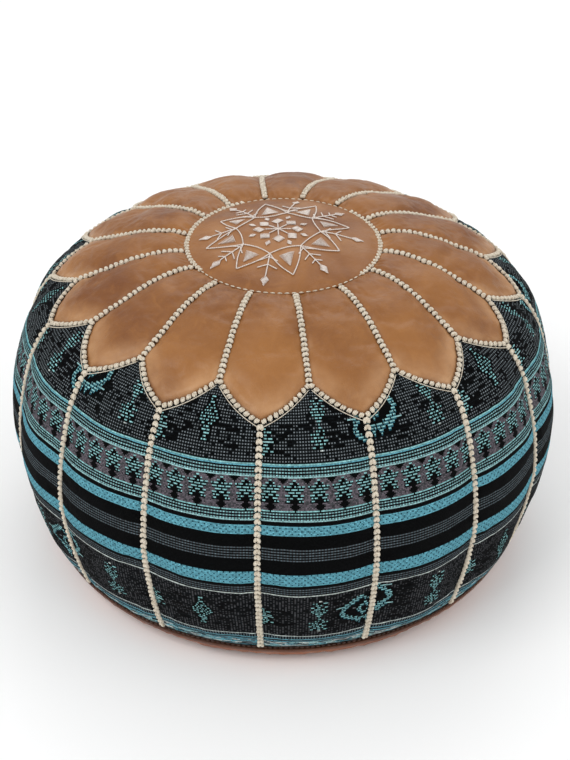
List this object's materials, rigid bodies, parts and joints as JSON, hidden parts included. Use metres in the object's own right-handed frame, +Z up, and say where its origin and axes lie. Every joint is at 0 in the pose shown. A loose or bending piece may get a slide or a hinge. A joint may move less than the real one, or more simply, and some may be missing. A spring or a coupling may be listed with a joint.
{
  "type": "moroccan leather pouf",
  "caption": "Round stuffed floor pouf: embroidered medallion, leather petals with arched edges, patterned woven side panels, corded seams and a zipped leather base.",
  "frame": {"origin": "centre of the base, on the floor", "axes": "+Z up; -Y is the front; the zip runs along X and closes towards +X"},
  "size_m": [0.5494, 0.5494, 0.3382],
  "materials": {
    "top_leather": "satin",
    "base_leather": "satin",
    "woven_cloth": "matte",
    "cotton_thread": "matte",
    "calico": "matte",
    "zip_tape": "matte",
    "zip_metal": "satin"
  },
  "bodies": {
    "pouf": {"top_medallion": "top_leather", "medallion_embroidery": "cotton_thread", "top_petal_01": "top_leather", "top_petal_02": "top_leather", "top_petal_03": "top_leather", "top_petal_04": "top_leather", "top_petal_05": "top_leather", "top_petal_06": "top_leather", "top_petal_07": "top_leather", "top_petal_08": "top_leather", "top_petal_09": "top_leather", "top_petal_10": "top_leather", "top_petal_11": "top_leather", "top_petal_12": "top_leather", "top_petal_13": "top_leather", "top_petal_14": "top_leather", "top_petal_15": "top_leather", "top_petal_16": "top_leather", "side_panel_01": "woven_cloth", "side_panel_02": "woven_cloth", "side_panel_03": "woven_cloth", "side_panel_04": "woven_cloth", "side_panel_05": "woven_cloth", "side_panel_06": "woven_cloth", "side_panel_07": "woven_cloth", "side_panel_08": "woven_cloth", "side_panel_09": "woven_cloth", "side_panel_10": "woven_cloth", "side_panel_11": "woven_cloth", "side_panel_12": "woven_cloth", "side_panel_13": "woven_cloth", "side_panel_14": "woven_cloth", "side_panel_15": "woven_cloth", "side_panel_16": "woven_cloth", "top_seam_cord": "cotton_thread", "side_seam_cord": "cotton_thread", "base_half_front": "base_leather", "base_half_rear": "base_leather", "lining_bag": "calico", "filling": "calico", "zip_tape_front": "zip_tape", "zip_tape_rear": "zip_tape", "zip_teeth_front": "zip_metal", "zip_teeth_rear": "zip_metal", "zip_top_stop_front": "zip_metal", "zip_top_stop_rear": "zip_metal", "zip_bottom_stop": "zip_metal"},
    "slider": {"zip_slider": "zip_metal"},
    "pull": {"zip_pull": "zip_metal"}
  },
  "joints": [
    {"name": "zip_slide", "type": "slide", "parent": "pouf", "child": "slider", "axis": [-1, 0, 0], "range_m": [0, 0.3]},
    {"name": "zip_pull_hinge", "type": "hinge", "parent": "slider", "child": "pull", "pos_m": [0.15, 0, 0.007], "axis": [0, -1, 0], "range_deg": [0, 170]}
  ]
}
